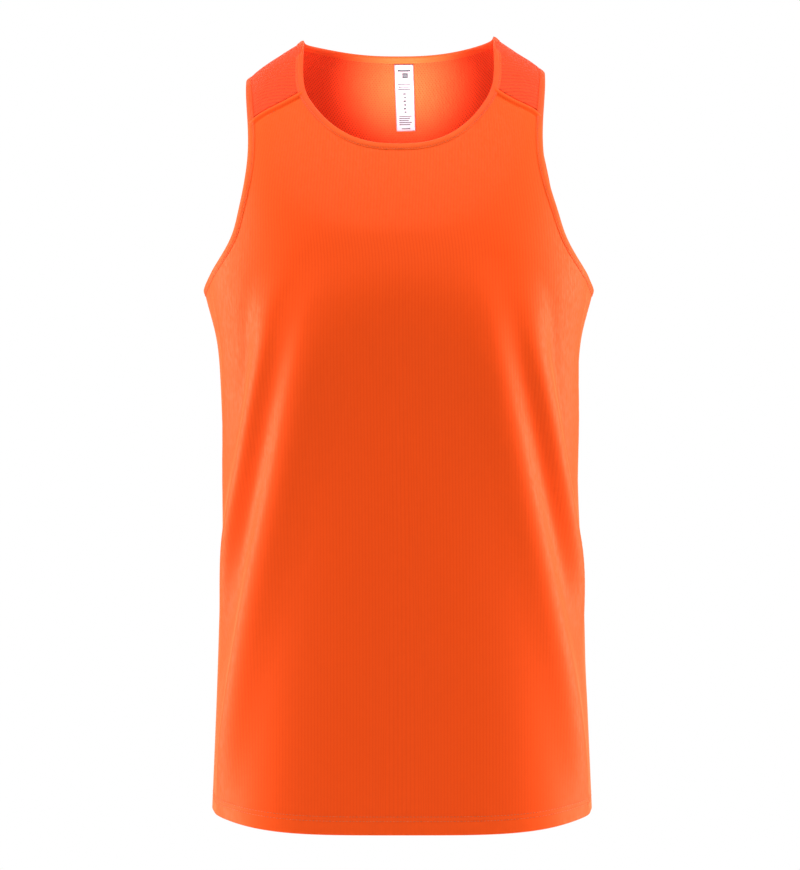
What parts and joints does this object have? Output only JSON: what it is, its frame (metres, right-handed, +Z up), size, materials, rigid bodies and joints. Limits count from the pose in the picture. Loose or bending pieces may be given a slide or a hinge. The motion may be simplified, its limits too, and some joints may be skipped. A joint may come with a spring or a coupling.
{
  "type": "running singlet",
  "caption": "Sleeveless running top with a scoop neck, mesh back and yokes, bound edges and a turned hem, held open as if worn.",
  "frame": {"origin": "midway between the two neck points, where the shoulders carry the singlet", "axes": "+Z up, from hem to shoulders; the front faces -Y; +X is on the wearer's left. Names with left and right are as seen from the front, so left is at -X"},
  "size_m": [0.3502, 0.2436, 0.7048],
  "materials": {
    "front_knit": "fine vertical-rib polyester knit with a soft sheen",
    "back_mesh": "eyelet mesh knit, matt",
    "binding": "folded knit binding with a row of stitches",
    "label_tape": "smooth woven tape"
  },
  "bodies": {
    "root": {"front_panel": "front_knit", "back_panel": "back_mesh", "neck_binding": "binding", "armhole_binding_left": "binding", "armhole_binding_right": "binding", "care_label": "label_tape"}
  },
  "joints": []
}
